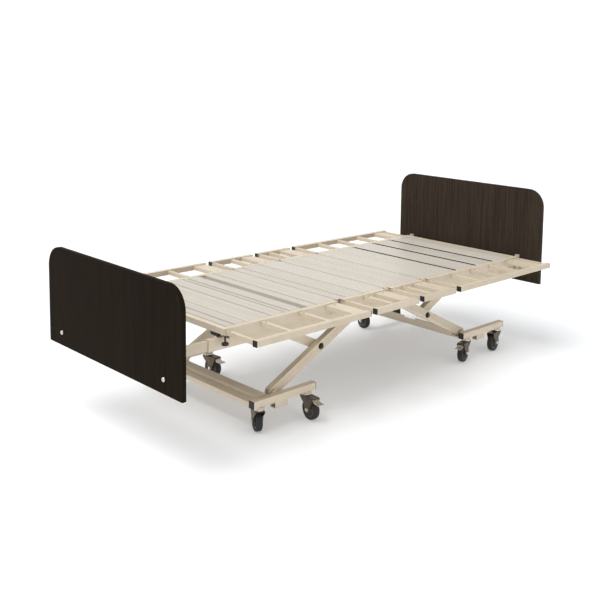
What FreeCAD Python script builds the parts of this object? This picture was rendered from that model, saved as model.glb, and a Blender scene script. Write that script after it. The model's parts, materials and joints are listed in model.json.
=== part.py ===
import FreeCAD, Part
import math
import os

# Adjustable hospital bed with a wide deck: four hinged deck sections, eight pull-out
# side extensions, two lift units on rolling bases and a footboard that pulls out.
# Millimetres. X runs from the foot to the head, Y is negative on the patient's left,
# Z is up, and the origin is on the floor under the middle of the bed.

V = FreeCAD.Vector
LEFT, RIGHT = -1, 1
FOOT, HEAD = -1, 1

# Driving dimensions
BOARD_OUTER = 1192.0
BOARD_THICK = 19.0
BOARD_WIDTH = 1024.0
BOARD_CORNER_R = 95.0
FOOTBOARD_Z = (309.0, 746.0)
HEADBOARD_Z = (364.0, 885.0)
BOARD_BOLT_Y = 395.0
BOARD_BOLT_RISE = 60.0
DECK_FOOT = -914.0
DECK_LENGTH = 2032.0
DECK_TOP = 509.0
DECK_HALF_WIDTH = 609.5
CENTRE_HALF_WIDTH = 405.0
RAIL = 25.4
CENTRE_RAIL_DEPTH = 44.0
SHEET = 2.0
HEAVY_WALL = 2.5
HINGE_BACK = 326.5
HINGE_THIGH = 54.5
HINGE_KNEE = -261.0
HINGE_Z = DECK_TOP - 4.0
KNEE_Z = 462.0
RAIL_GAP = 20.5
TUBE = 19.0
PLATE_WIDTH = 72.0
FRAME_Z = (413.0, 463.0)
FRAME_WEB = (358.0, 362.0)
FRAME_Y = 338.0
FRAME_X = (-960.0, 1104.0)
LEG_HALF = 317.5
LEG_RISE = math.radians(27.0)
LEG_Y = (305.0, 335.0)
LINK_Y = (270.0, 300.0)
TRACK_Z = 438.0
FOOT_LIFT_X = -598.0
HEAD_LIFT_X = 716.0
BASE_Z = (121.0, 153.0)
BASE_Y = (346.0, 378.0)
BASE_LENGTH = 352.0
FOOT_BASE_X = -738.0
HEAD_BASE_X = 685.0
CASTER_INSET = 40.0
WHEEL_R = 48.0
WHEEL_WIDTH = 32.0
TRAIL = 33.0
PIN_CLEAR = 0.1

DECK_HEAD = DECK_FOOT + DECK_LENGTH
SLAT_HALF = CENTRE_HALF_WIDTH - RAIL - 1.4
TUBE_Z = (DECK_TOP - 23.0, DECK_TOP - 4.0)
BEARER_Z = (FRAME_Z[1] + 3.0, FRAME_Z[1] + 18.0)
BEARER_HALF = 20.0
LEDGE_WIDTH = 20.0
SLOT_CLEAR = 0.6
SLAT_SKIN = 1.5
TUBE_OVERLAP = 120.0

# Each deck section: its span, the centres of the pull-out cross tubes, where its flat
# plate starts, and the spans of its slats.
SECTIONS = {
    "foot": {
        "span": (DECK_FOOT, HINGE_KNEE),
        "tubes": (DECK_FOOT + RAIL / 2, -717.0, -506.0),
        "plate": -357.5,
        "slats": ((-880, -842), (-834, -782), (-778, -650), (-642, -572),
                  (-564, -475), (-435, -387), (-379, -265)),
        "bearers": (-760.0, -560.0, -380.0),
    },
    "thigh": {
        "span": (HINGE_KNEE, HINGE_THIGH),
        "tubes": (HINGE_KNEE + 33.0, -106.0),
        "plate": -42.0,
        "slats": ((-257, -202), (-194, -87), (-79, 50)),
        "bearers": (-198.0, -20.0),
    },
    "seat": {
        "span": (HINGE_THIGH, HINGE_BACK),
        "tubes": (HINGE_THIGH + 34.0, 162.0),
        "plate": 230.0,
        "slats": ((59, 126), (130, 222), (226, 322)),
        "bearers": (110.0, 222.0),
    },
    "back": {
        "span": (HINGE_BACK, DECK_HEAD),
        "tubes": (HINGE_BACK + 33.0, 537.0, 695.0, 860.0, DECK_HEAD - RAIL / 2),
        "plate": 1006.0,
        "slats": ((331, 458), (462, 597), (617, 766), (788, 913), (935, 1000), (1003, 1088)),
        "bearers": (365.0, 600.0, 780.0, 980.0),
    },
}


def box(x, y, z):
    x, y, z = sorted(x), sorted(y), sorted(z)
    return Part.makeBox(x[1] - x[0], y[1] - y[0], z[1] - z[0], V(x[0], y[0], z[0]))


def side_span(side, inner, outer):
    return (side * inner, side * outer)


def cyl_x(r, x, y, z):
    return Part.makeCylinder(r, max(x) - min(x), V(min(x), y, z), V(1, 0, 0))


def cyl_y(r, x, y, z):
    return Part.makeCylinder(r, max(y) - min(y), V(x, min(y), z), V(0, 1, 0))


def cyl_z(r, x, y, z):
    return Part.makeCylinder(r, max(z) - min(z), V(x, y, min(z)), V(0, 0, 1))


def tube_x(x, y, z, wall=SHEET):
    y, z = sorted(y), sorted(z)
    inner = box((x[0] - 1, x[1] + 1), (y[0] + wall, y[1] - wall), (z[0] + wall, z[1] - wall))
    return box(x, y, z).cut(inner)


def tube_y(x, y, z, wall=SHEET):
    x, y, z = sorted(x), sorted(y), sorted(z)
    inner = box((x[0] + wall, x[1] - wall), (y[0] - 1, y[1] + 1), (z[0] + wall, z[1] - wall))
    return box(x, y, z).cut(inner)


def plate_y(points, y):
    y = sorted(y)
    wire = Part.makePolygon([V(x, y[0], z) for x, z in points + [points[0]]])
    return Part.Face(wire).extrude(V(0, y[1] - y[0], 0))


def fuse(first, *others):
    return first.multiFuse(list(others)).removeSplitter() if others else first


def save(name, shapes):
    solids = [solid for shape in shapes for solid in shape.Solids]
    for solid in solids:
        if not solid.isValid():
            raise ValueError(name + " holds a solid that is not valid")
    shape = solids[0] if len(solids) == 1 else Part.makeCompound(solids)
    shape.exportStep("parts/" + name + ".step")
    print(name, len(solids), "solids", round(shape.Volume / 1000.0), "cm3")


# Deck sections

HINGES = {
    HINGE_BACK: {"z": HINGE_Z, "fixed": "seat", "moving": "back"},
    HINGE_THIGH: {"z": HINGE_Z, "fixed": "seat", "moving": "thigh"},
    HINGE_KNEE: {"z": KNEE_Z, "fixed": "thigh", "moving": "foot"},
}
TONGUE_R = 9.0
PIN_R = 4.0
HIGH_EAR = [(50.0, 467.0), (50.0, 484.5), (22.0, 484.5), (8.0, 508.0), (-7.0, 500.0), (4.0, 467.0)]
LOW_EAR = [(50.0, 453.0), (50.0, 467.5), (20.5, 467.5), (0.0, 471.0), (0.0, 453.0)]


def rail_span(span):
    """The outer rails of a section stop short of its hinge lines and reach the deck's own ends."""
    start = span[0] if span[0] == DECK_FOOT else span[0] + RAIL_GAP
    end = span[1] if span[1] == DECK_HEAD else span[1] - RAIL_GAP
    return (start, end)


def tongue(side, hinge_x, pin_z, towards, inner):
    """A hinge ear that leaves the rail's end and rounds the pin's line."""
    y = side_span(side, 381.6, 388.0) if inner else side_span(side, 389.0, 395.4)
    outline = HIGH_EAR if pin_z == HINGE_Z else LOW_EAR
    web = plate_y([(hinge_x + towards * x, z) for x, z in outline], y)
    return fuse(cyl_y(TONGUE_R, hinge_x, y, pin_z), web)


def hinge_parts(name, rail, side):
    """Adds the ears at both ends of a rail, a bored one or one that carries the pin."""
    for hinge_x, hinge in HINGES.items():
        if name not in (hinge["fixed"], hinge["moving"]):
            continue
        towards = 1 if SECTIONS[name]["span"][0] == hinge_x else -1
        if name == hinge["fixed"]:
            ear = tongue(side, hinge_x, hinge["z"], towards, True)
            hole = cyl_y(PIN_R + PIN_CLEAR, hinge_x, side_span(side, 375.0, 400.0), hinge["z"])
            rail = fuse(rail, ear).cut(hole)
        else:
            ear = tongue(side, hinge_x, hinge["z"], towards, False)
            pin = cyl_y(PIN_R, hinge_x, side_span(side, 380.2, 396.0), hinge["z"])
            head = cyl_y(TONGUE_R - 2.0, hinge_x, side_span(side, 395.4, 399.0), hinge["z"])
            rail = fuse(rail, ear, pin, head)
    return rail


def centre_span(span):
    """The centre rails also stop at the tubes across the deck's own ends."""
    start, end = rail_span(span)
    if start == DECK_FOOT:
        start += RAIL
    if end == DECK_HEAD:
        end -= RAIL
    return (start, end)


def centre_rail(name, side):
    section = SECTIONS[name]
    x = centre_span(section["span"])
    z = (DECK_TOP - CENTRE_RAIL_DEPTH, DECK_TOP)
    y = side_span(side, CENTRE_HALF_WIDTH - RAIL, CENTRE_HALF_WIDTH)
    rail = tube_x(x, y, z)
    slot_z = (TUBE_Z[0] - SLOT_CLEAR, TUBE_Z[1] + SLOT_CLEAR)
    reach = side_span(side, CENTRE_HALF_WIDTH - RAIL - 1, CENTRE_HALF_WIDTH + 1)
    half = TUBE / 2 + SLOT_CLEAR
    spans = [(centre - half, centre + half) for centre in section["tubes"]]
    spans.append((section["plate"] - SLOT_CLEAR, section["plate"] + PLATE_WIDTH + SLOT_CLEAR))
    for span in spans:
        rail = rail.cut(box(span, reach, slot_z))
    return hinge_parts(name, rail, side)


def ledge(name, side):
    """Strip along the rail's inner face that the slats' flanges stand on."""
    inner = CENTRE_HALF_WIDTH - RAIL
    return box(centre_span(SECTIONS[name]["span"]), side_span(side, inner - LEDGE_WIDTH, inner),
               (TUBE_Z[0] - 4.0, TUBE_Z[0] - 1.0))


def section_frame(name):
    section = SECTIONS[name]
    inner = CENTRE_HALF_WIDTH - RAIL
    solids = []
    for side in (LEFT, RIGHT):
        solids.append(centre_rail(name, side))
        solids.append(ledge(name, side))
    for centre in section["bearers"]:
        solids.append(tube_y((centre - BEARER_HALF, centre + BEARER_HALF), (-inner, inner), BEARER_Z))
    if section["span"][0] == DECK_FOOT:
        solids.append(end_tube(DECK_FOOT))
    if section["span"][1] == DECK_HEAD:
        solids.append(end_tube(DECK_HEAD - RAIL))
    return solids


def end_tube(x):
    """Tube across the deck's end; the outermost tubes of the extensions slide inside it."""
    return tube_y((x, x + RAIL), (-CENTRE_HALF_WIDTH, CENTRE_HALF_WIDTH), (DECK_TOP - RAIL, DECK_TOP))


def slat(x0, x1):
    """Folded pan: a flat top with a flange turned down along each long edge."""
    whole = box((x0, x1), (-SLAT_HALF, SLAT_HALF), (TUBE_Z[0] - 1.0, DECK_TOP))
    hollow = box((x0 + SLAT_SKIN, x1 - SLAT_SKIN), (-SLAT_HALF - 1, SLAT_HALF + 1),
                 (TUBE_Z[0] - 2.0, DECK_TOP - SLAT_SKIN))
    return whole.cut(hollow)


def extension(name, side):
    """Outer rail, the tubes and the flat plate that slide into the centre frame, and caps."""
    section = SECTIONS[name]
    x = rail_span(section["span"])
    rail_y = side_span(side, DECK_HALF_WIDTH - RAIL, DECK_HALF_WIDTH)
    rail_z = (DECK_TOP - RAIL, DECK_TOP)
    solids = [tube_x(x, rail_y, rail_z)]
    reach = side_span(side, CENTRE_HALF_WIDTH - TUBE_OVERLAP, DECK_HALF_WIDTH - RAIL)
    for centre in section["tubes"]:
        solids.append(tube_y((centre - TUBE / 2, centre + TUBE / 2), reach, TUBE_Z))
    plate = section["plate"]
    solids.append(tube_y((plate, plate + PLATE_WIDTH), reach, TUBE_Z))
    for end, out in ((x[0], -1), (x[1], 1)):
        solids.append(end_cap(end, out, rail_y, rail_z))
    return solids


CAP_THICK = 3.0
CAP_CORE = 14.0


def end_cap(end, out, y, z):
    """Moulded plug: a plate over the tube's end and a core inside the tube."""
    y, z = sorted(y), sorted(z)
    inset = SHEET + 0.7
    face = box((end, end + out * CAP_THICK), y, z)
    core = box((end - out * CAP_CORE, end), (y[0] + inset, y[1] - inset), (z[0] + inset, z[1] - inset))
    return fuse(face, core)


# Levers that the drives push

DRIVE_PIN_R = 8.0
LEVER_HALF = 19.0
LEVER_NEAR = 62.0
PLATE_THICK = 6.0
BACK_LEVER = {"hinge": HINGE_BACK, "length": 110.0, "angle": -32.5, "y": 120.0,
              "slot": (104, 136), "play": 3.6}
KNEE_LEVER = {"hinge": HINGE_THIGH, "length": 100.0, "angle": 15.0, "y": -120.0,
              "slot": (96, 108), "play": 1.2}


def slot_cutter(x, z, angle, near, far, r, y):
    """Round-ended slot along the lever, from near to far, measured from the pivot."""
    direction = (math.sin(angle), -math.cos(angle))
    ends = [(x + direction[0] * d, z + direction[1] * d) for d in (near, far)]
    across = (direction[1] * r, -direction[0] * r)
    corners = [(ends[0][0] + across[0], ends[0][1] + across[1]),
               (ends[1][0] + across[0], ends[1][1] + across[1]),
               (ends[1][0] - across[0], ends[1][1] - across[1]),
               (ends[0][0] - across[0], ends[0][1] - across[1])]
    return fuse(plate_y(corners, y), cyl_y(r, ends[0][0], y, ends[0][1]), cyl_y(r, ends[1][0], y, ends[1][1]))


def lever_pair(lever, bearer_x):
    """Two plates welded under a bearer, slotted for the drive's pin."""
    angle = math.radians(lever["angle"])
    plates = []
    for offset in (-LEVER_HALF, LEVER_HALF - PLATE_THICK):
        y = (lever["y"] + offset, lever["y"] + offset + PLATE_THICK)
        body = slot_cutter(lever["hinge"], HINGE_Z, angle, LEVER_NEAR, lever["slot"][1], LEVER_HALF, y)
        top_x = lever["hinge"] + math.sin(angle) * LEVER_NEAR
        top_z = HINGE_Z - math.cos(angle) * LEVER_NEAR
        inward = 1 if bearer_x > lever["hinge"] else -1
        arm = plate_y([(bearer_x - inward * 18.0, BEARER_Z[0]), (bearer_x + inward * 18.0, BEARER_Z[0]),
                       (top_x + inward * 12.0, top_z - 16.0), (top_x - inward * 12.0, top_z + 12.0)], y)
        slot = slot_cutter(lever["hinge"], HINGE_Z, angle, lever["slot"][0], lever["slot"][1],
                           DRIVE_PIN_R + lever["play"], (y[0] - 1, y[1] + 1))
        plates.append(fuse(body, arm).cut(slot))
    return plates


# Main frame

CROSS_Z = (433.0, 463.0)
CROSS_HALF = 20.0
CHANNEL_FLANGE = 4.0
FOOT_MEMBER_X = -780.0
HEAD_MEMBER_X = FRAME_X[1] - 24.0
SEAT_BRACKETS_X = (110.0, 270.0)
REAR_PIN_R = 5.0
JOURNAL_R = 10.0
LIFT_MOUNT = 265.0
BACK_MOUNT_X = -236.0
LIFT_DRIVE_Z = TRACK_Z - 90.0
BACK_DRIVE_Z = HINGE_Z - BACK_LEVER["length"]
KNEE_DRIVE_Z = HINGE_Z - KNEE_LEVER["length"]


def channel_rail(side):
    whole = box(FRAME_X, side_span(side, FRAME_Y, FRAME_WEB[1]), FRAME_Z)
    inside = box((FRAME_X[0] - 1, FRAME_X[1] + 1), side_span(side, FRAME_Y - 1, FRAME_WEB[0]),
                 (FRAME_Z[0] + CHANNEL_FLANGE, FRAME_Z[1] - CHANNEL_FLANGE))
    return whole.cut(inside)


def cross_member(x):
    return tube_y((x - CROSS_HALF, x + CROSS_HALF), (-FRAME_Y, FRAME_Y), CROSS_Z, HEAVY_WALL)


def lift_bearing(x, side):
    """Plate across the channel's open side that carries the link tube's journal."""
    plate = box((x - 42.0, x + 42.0), side_span(side, 330.0, FRAME_Y), FRAME_Z)
    return plate.cut(cyl_y(JOURNAL_R + PIN_CLEAR, x, side_span(side, 325.0, 345.0), TRACK_Z))


def drive_bracket(x, y, z):
    """Two ears that hang from a cross member around a drive's rear eye."""
    ears = []
    half = 14.0
    for offset in (-13.0, 8.0):
        span = (y + offset, y + offset + 5.0)
        ear = fuse(box((x - half, x + half), span, (z, CROSS_Z[0])), cyl_y(half, x, span, z))
        ears.append(ear.cut(cyl_y(REAR_PIN_R + 0.3, x, (span[0] - 1, span[1] + 1), z)))
    return ears


def seat_bracket(x, side):
    """Plate from the frame's channel to the seat's centre rail."""
    top = DECK_TOP - CENTRE_RAIL_DEPTH
    y = side_span(side, FRAME_WEB[1], CENTRE_HALF_WIDTH)
    return box((x - 20.0, x + 20.0), y, (top - PLATE_THICK, top))


def main_frame():
    solids = [channel_rail(side) for side in (LEFT, RIGHT)]
    members = (FOOT_MEMBER_X, FOOT_LIFT_X + LIFT_MOUNT, BACK_MOUNT_X, HEAD_LIFT_X - LIFT_MOUNT, HEAD_MEMBER_X)
    solids += [cross_member(x) for x in members]
    for side in (LEFT, RIGHT):
        solids += [lift_bearing(x, side) for x in (FOOT_LIFT_X, HEAD_LIFT_X)]
        solids += [seat_bracket(x, side) for x in SEAT_BRACKETS_X]
    for x in (FOOT_LIFT_X + LIFT_MOUNT, HEAD_LIFT_X - LIFT_MOUNT):
        solids += drive_bracket(x, 0.0, LIFT_DRIVE_Z)
    solids += drive_bracket(BACK_MOUNT_X, BACK_LEVER["y"], BACK_DRIVE_Z)
    solids += drive_bracket(HEAD_LIFT_X - LIFT_MOUNT, KNEE_LEVER["y"], KNEE_DRIVE_Z)
    return solids + section_frame("seat")


# Drives: gear housing, motor, outer tube and the rod with its eye and pin

def drive(rear_x, y, z, eye_x, tube_gap):
    towards = 1 if eye_x > rear_x else -1

    def at(distance):
        return rear_x + towards * distance

    tube_end = eye_x - towards * tube_gap
    housing = box((at(20), at(78)), (y - 25, y + 25), (z - 24, z + 24))
    ear = fuse(box((at(0), at(20)), (y - 6, y + 6), (z - 12, z + 12)), cyl_y(12.0, rear_x, (y - 6, y + 6), z))
    rear_pin = cyl_y(REAR_PIN_R, rear_x, (y - 17, y + 17), z)
    housing = fuse(housing, ear, rear_pin)
    motor = cyl_x(21.0, (at(30), at(150)), y, z - 44.0)
    saddle = box((at(34), at(74)), (y - 15, y + 15), (z - 34, z - 20))
    motor = fuse(motor, saddle).cut(housing)
    outer = cyl_x(18.0, (at(78), tube_end), y, z)
    nose = cyl_x(21.0, (tube_end - towards * 14.0, tube_end), y, z)
    bore = cyl_x(10.6, (at(78), tube_end + towards), y, z)
    body = [housing, motor, fuse(outer, nose).cut(bore)]
    rod = cyl_x(10.0, (tube_end - towards * min(200.0, abs(tube_end - at(80)) - 30.0), eye_x), y, z)
    eye = cyl_y(14.0, eye_x, (y - 11, y + 11), z)
    pin = cyl_y(DRIVE_PIN_R, eye_x, (y - 22, y + 22), z)
    return body, fuse(rod, eye, pin)


# Lift units

BAR_DEPTH = 45.0
LINK_DEPTH = 42.0
BUSH_R = 13.0
PIVOT_R = 8.0
BASE_PIN_R = 7.0
CRANK = math.radians(2.0)
CRANK_REACH = 90.0


def bar(start, angle, length, y, depth, holes):
    """Rounded box tube in the XZ plane with a bored bush at each hole."""
    half = depth / 2
    y = sorted(y)
    outer = fuse(box((0, length), y, (-half, half)), cyl_y(half, 0, y, 0), cyl_y(half, length, y, 0))
    outer = outer.cut(box((-half - 1, length + half + 1), (y[0] + HEAVY_WALL, y[1] - HEAVY_WALL),
                          (-half + HEAVY_WALL, half - HEAVY_WALL)))
    outer = fuse(outer, *[cyl_y(BUSH_R, distance, y, 0) for distance, _ in holes])
    for distance, radius in holes:
        outer = outer.cut(cyl_y(radius, distance, (y[0] - 1, y[1] + 1), 0))
    outer.rotate(V(0, 0, 0), V(0, 1, 0), -math.degrees(angle))
    outer.translate(V(start[0], 0, start[1]))
    return outer


def lift_unit(x, towards):
    """Leg, link and pin shapes of one end. towards is the side that the legs lean to."""
    rise = 2 * LEG_HALF * math.sin(LEG_RISE)
    run = LEG_HALF * math.cos(LEG_RISE)
    angle = LEG_RISE if towards > 0 else math.pi - LEG_RISE
    bottom = (x, TRACK_Z - rise)
    middle = (x + towards * run, TRACK_Z - rise / 2)
    top = (x + towards * 2 * run, TRACK_Z)
    legs, links, pins = [], [], []
    for side in (LEFT, RIGHT):
        legs.append(bar(bottom, angle, 2 * LEG_HALF, side_span(side, *LEG_Y), BAR_DEPTH,
                        ((0, BASE_PIN_R + PIN_CLEAR), (LEG_HALF, PIVOT_R), (2 * LEG_HALF, PIVOT_R))))
        link_y = side_span(side, *LINK_Y)
        links.append(bar((x, TRACK_Z), -angle, LEG_HALF, link_y, LINK_DEPTH,
                         ((0, JOURNAL_R), (LEG_HALF, PIVOT_R + PIN_CLEAR))))
        stud = fuse(cyl_y(PIVOT_R, middle[0], side_span(side, 264.0, 336.0), middle[1]),
                    cyl_y(13.0, middle[0], side_span(side, 335.0, 341.0), middle[1]),
                    cyl_y(12.0, middle[0], side_span(side, 262.0, 269.5), middle[1]))
        pins.append(stud)
        glide = fuse(cyl_y(PIVOT_R, top[0], side_span(side, 303.0, 356.5), top[1]),
                     cyl_y(20.5, top[0], side_span(side, 339.0, 356.5), top[1]))
        pins.append(glide)
    journal = fuse(cyl_y(JOURNAL_R, x, (-337.0, 337.0), TRACK_Z), cyl_y(16.0, x, (-270.0, 270.0), TRACK_Z))
    cranks = [crank(x, towards, y).cut(journal) for y in ((-19.0, -13.0), (13.0, 19.0))]
    return legs, links + [journal] + cranks, pins


def crank(x, towards, y):
    """Arm under the torque tube, slotted for the lift drive's pin."""
    angle = CRANK * towards
    body = slot_cutter(x, TRACK_Z, angle, 0.0, CRANK_REACH + 6.0, 16.0, y)
    return body.cut(slot_cutter(x, TRACK_Z, angle, CRANK_REACH - 2.0, CRANK_REACH + 7.0, DRIVE_PIN_R + 1.0,
                                (y[0] - 1, y[1] + 1)))


# Rolling bases

CASTER_Y = (BASE_Y[0] + BASE_Y[1]) / 2
STEM_R = 6.0
SEAT_R = 23.0
SEAT_THICK = 6.0
BLOCK_START = 117.0
BLOCK_LENGTH = 68.0
BLOCK_DEPTH = 27.0


def base(x0, lift_x, beam):
    """Two capped bars with a stop block, a leg pivot and two caster seats each, and their beam."""
    x = (x0, x0 + BASE_LENGTH)
    swivels = (x[0] + CASTER_INSET, x[1] - CASTER_INSET)
    solids = []
    for side in (LEFT, RIGHT):
        y = side_span(side, *BASE_Y)
        rail = tube_x(x, y, BASE_Z, HEAVY_WALL)
        for swivel_x in swivels:
            rail = rail.cut(caster_bore(swivel_x, side))
            solids.append(caster_seat(swivel_x, side))
        solids.append(rail)
        solids.append(base_pivot(lift_x, side))
        block_x = (x[0] + BLOCK_START, x[0] + BLOCK_START + BLOCK_LENGTH)
        solids.append(tube_x(block_x, y, (BASE_Z[0] - BLOCK_DEPTH, BASE_Z[0]), HEAVY_WALL))
        for end, out in ((x[0], -1), (x[1], 1)):
            solids.append(end_cap(end, out, y, BASE_Z))
    return solids + beam


def foot_beam():
    """Low channel with a taller tube behind it, between the foot base's bars."""
    x, inner, floor = FOOT_BASE_X, BASE_Y[0], BASE_Z[0]
    return [tube_y((x, x + 44.0), (-inner, inner), (floor, floor + 22.0), HEAVY_WALL),
            tube_y((x + 44.0, x + 94.0), (-inner, inner), (floor, floor + 36.0), HEAVY_WALL)]


def head_beam():
    """Angle between the head base's bars. Its wall is low beside the legs and under the lift drive."""
    x, inner, floor = HEAD_BASE_X, BASE_Y[0], BASE_Z[0]
    thick = (x, x + 5.0)
    flat = box((x, x + 60.0), (-inner + 6.5, inner - 6.5), (floor, floor + 4.0))
    walls = [box(thick, (-inner, inner), (floor, floor + 8.0)), box(thick, (-40.0, 40.0), BASE_Z)]
    for side in (LEFT, RIGHT):
        walls.append(box(thick, side_span(side, 40.0, LEG_Y[0] - 8.0), (floor, floor + 42.0)))
    return [fuse(flat, *walls)]


def base_pivot(x, side):
    """Ear on the inside of the bar with the pin that the leg turns on."""
    z = TRACK_Z - 2 * LEG_HALF * math.sin(LEG_RISE)
    y = side_span(side, 340.0, BASE_Y[0])
    half = 14.0
    ear = fuse(box((x - half, x + half), y, (BASE_Z[0], z)), cyl_y(half, x, y, z))
    pin = cyl_y(BASE_PIN_R, x, side_span(side, 301.0, 341.0), z)
    head = cyl_y(12.0, x, side_span(side, 298.0, 304.0), z)
    return fuse(ear, pin, head)


def caster_bore(x, side):
    return cyl_z(STEM_R + 0.2, x, side * CASTER_Y, (BASE_Z[0] - SEAT_THICK - 2.0, BASE_Z[0] + 4.0))


def caster_seat(x, side):
    """Round seat under a bar, which a caster's top turns against."""
    seat = cyl_z(SEAT_R, x, side * CASTER_Y, (BASE_Z[0] - SEAT_THICK, BASE_Z[0]))
    return seat.cut(caster_bore(x, side))


# Casters, built trailing towards +X and then turned and placed

AXLE_R = 6.0
PEDAL_PIVOT = (62.0, 95.0)


def caster_fork():
    crown = box((-20.0, 68.0), (-21.5, 21.5), (101.0, 105.0))
    boss = cyl_z(19.0, 0, 0, (105.0, 114.6))
    stem = cyl_z(STEM_R, 0, 0, (114.6, 122.5))
    outline = [(-20.0, 105.0), (68.0, 105.0), (68.0, 88.0), (48.0, 40.0), (20.0, 38.0), (-20.0, 88.0)]
    cheeks = [plate_y(outline, side_span(side, 18.5, 21.5)) for side in (LEFT, RIGHT)]
    axle = cyl_y(AXLE_R, TRAIL, (-24.0, 24.0), WHEEL_R)
    nuts = [cyl_y(9.0, TRAIL, side_span(side, 21.5, 24.5), WHEEL_R) for side in (LEFT, RIGHT)]
    fork = fuse(crown, boss, stem, axle, *(cheeks + nuts))
    pivot_x, pivot_z = PEDAL_PIVOT
    return fork.cut(cyl_y(3.1, pivot_x, (-25.0, 25.0), pivot_z))


def caster_wheel():
    half = WHEEL_WIDTH / 2
    profile = [(AXLE_R + 0.1, -half - 1), (15.0, -half - 1), (15.0, -half + 5), (31.0, -half + 5),
               (34.0, -half + 1), (42.0, -half + 1), (WHEEL_R, -half + 8), (WHEEL_R, half - 8),
               (42.0, half - 1), (34.0, half - 1), (31.0, half - 5), (15.0, half - 5),
               (15.0, half + 1), (AXLE_R + 0.1, half + 1)]
    wire = Part.makePolygon([V(r, y, 0) for r, y in profile + [profile[0]]])
    wheel = Part.Face(wire).revolve(V(0, 0, 0), V(0, 1, 0), 360)
    wheel.translate(V(TRAIL, 0, WHEEL_R))
    return wheel


def brake_pedal():
    pivot_x, pivot_z = PEDAL_PIVOT
    pin = cyl_y(3.0, pivot_x, (-24.0, 24.0), pivot_z)
    hub = cyl_y(5.5, pivot_x, (-17.5, 17.5), pivot_z)
    lever = plate_y([(pivot_x, pivot_z + 4.0), (75.0, 91.5), (99.0, 87.5), (98.0, 83.0),
                     (pivot_x + 1.0, pivot_z - 5.0)], (-15.0, 15.0))
    toe = plate_y([(96.0, 88.5), (108.0, 87.0), (107.0, 82.5), (95.0, 83.0)], (-19.0, 19.0))
    shoe = plate_y([(pivot_x - 4.0, pivot_z), (pivot_x + 4.0, pivot_z), (pivot_x + 6.0, pivot_z - 9.0),
                    (pivot_x + 2.5, pivot_z - 7.5)], (-13.0, 13.0))
    return fuse(pin, hub, lever, toe, shoe)


def placed(shape, x, y, heading):
    shape.rotate(V(0, 0, 0), V(0, 0, 1), heading)
    shape.translate(V(x, y, 0))
    return shape


# Each caster: where its stem stands, the way it trails and whether it has a brake.
CASTERS = {
    "foot_base_1_left": (FOOT_BASE_X + CASTER_INSET, LEFT, 65.0, True),
    "foot_base_2_left": (FOOT_BASE_X + BASE_LENGTH - CASTER_INSET, LEFT, -95.0, True),
    "foot_base_1_right": (FOOT_BASE_X + CASTER_INSET, RIGHT, 110.0, True),
    "foot_base_2_right": (FOOT_BASE_X + BASE_LENGTH - CASTER_INSET, RIGHT, -85.0, True),
    "head_base_1_left": (HEAD_BASE_X + CASTER_INSET, LEFT, 195.0, True),
    "head_base_2_left": (HEAD_BASE_X + BASE_LENGTH - CASTER_INSET, LEFT, 190.0, False),
    "head_base_1_right": (HEAD_BASE_X + CASTER_INSET, RIGHT, 80.0, True),
    "head_base_2_right": (HEAD_BASE_X + BASE_LENGTH - CASTER_INSET, RIGHT, 60.0, False),
}


# Boards

def board(outer_x, inner_x, z):
    """Laminate panel with rounded upper corners, eased edges and two bolt holes."""
    panel = box((outer_x, inner_x), (-BOARD_WIDTH / 2, BOARD_WIDTH / 2), z)
    corners = [edge for edge in panel.Edges
               if abs(edge.BoundBox.ZMin - z[1]) < 0.01 and edge.BoundBox.XLength > BOARD_THICK - 1]
    panel = panel.makeFillet(BOARD_CORNER_R, corners)
    x = (min(outer_x, inner_x) - 5.0, max(outer_x, inner_x) + 5.0)
    for side in (LEFT, RIGHT):
        panel = panel.cut(cyl_x(4.3, x, side * BOARD_BOLT_Y, z[0] + BOARD_BOLT_RISE))
    return panel


def board_bolt(end, y, z):
    """Round-headed bolt through a board and its bracket, with a nut behind."""
    head = cyl_x(10.0, (end * BOARD_OUTER, end * (BOARD_OUTER + 8.0)), y, z)
    rim = [edge for edge in head.Edges if abs(edge.BoundBox.XMin - end * (BOARD_OUTER + 8.0)) < 0.01
           and edge.BoundBox.XLength < 0.01]
    head = head.makeFillet(5.0, rim)
    shank = cyl_x(4.0, (end * (BOARD_OUTER - 38.0), end * BOARD_OUTER), y, z)
    nut = cyl_x(8.0, (end * (BOARD_OUTER - 33.0), end * (BOARD_OUTER - 26.0)), y, z)
    return fuse(head, shank, nut)


ARM_Y = (FRAME_Y + 1.0, FRAME_WEB[0] - 1.0)
ARM_Z = (FRAME_Z[0] + 4.5, FRAME_Z[1] - 4.5)
BRACKET_THICK = 6.0
BRACKET_FACE = BOARD_OUTER - BOARD_THICK
BRACKET_BACK = BRACKET_FACE - BRACKET_THICK
FOOT_ARM_END = -770.0
HEAD_ARM_START = 1010.0
SOCKET_X = 1139.0
SOCKET_Y = 386.0
SOCKET_R = 9.8
SOCKET_OUTER_R = 12.7
SOCKET_Z = (430.0, 515.0)
KNOB_X = DECK_FOOT + RAIL / 2
KNOB_Y = LEFT * (CENTRE_HALF_WIDTH - RAIL / 2)


def board_bracket(end, side, z, bolt_z):
    """Plate behind the board, bolted through it."""
    plate = box((end * BRACKET_BACK, end * BRACKET_FACE), side_span(side, 335.0, 412.0), z)
    hole = cyl_x(4.3, (end * (BRACKET_BACK - 3.0), end * (BRACKET_FACE + 3.0)), side * BOARD_BOLT_Y, bolt_z)
    return plate.cut(hole)


def footboard_arm(side):
    """Bracket and the tube that slides in the frame's channel."""
    plate = board_bracket(FOOT, side, (350.0, 470.0), FOOTBOARD_Z[0] + BOARD_BOLT_RISE)
    return [plate, tube_x((-BRACKET_BACK, FOOT_ARM_END), side_span(side, *ARM_Y), ARM_Z, HEAVY_WALL)]


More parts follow.
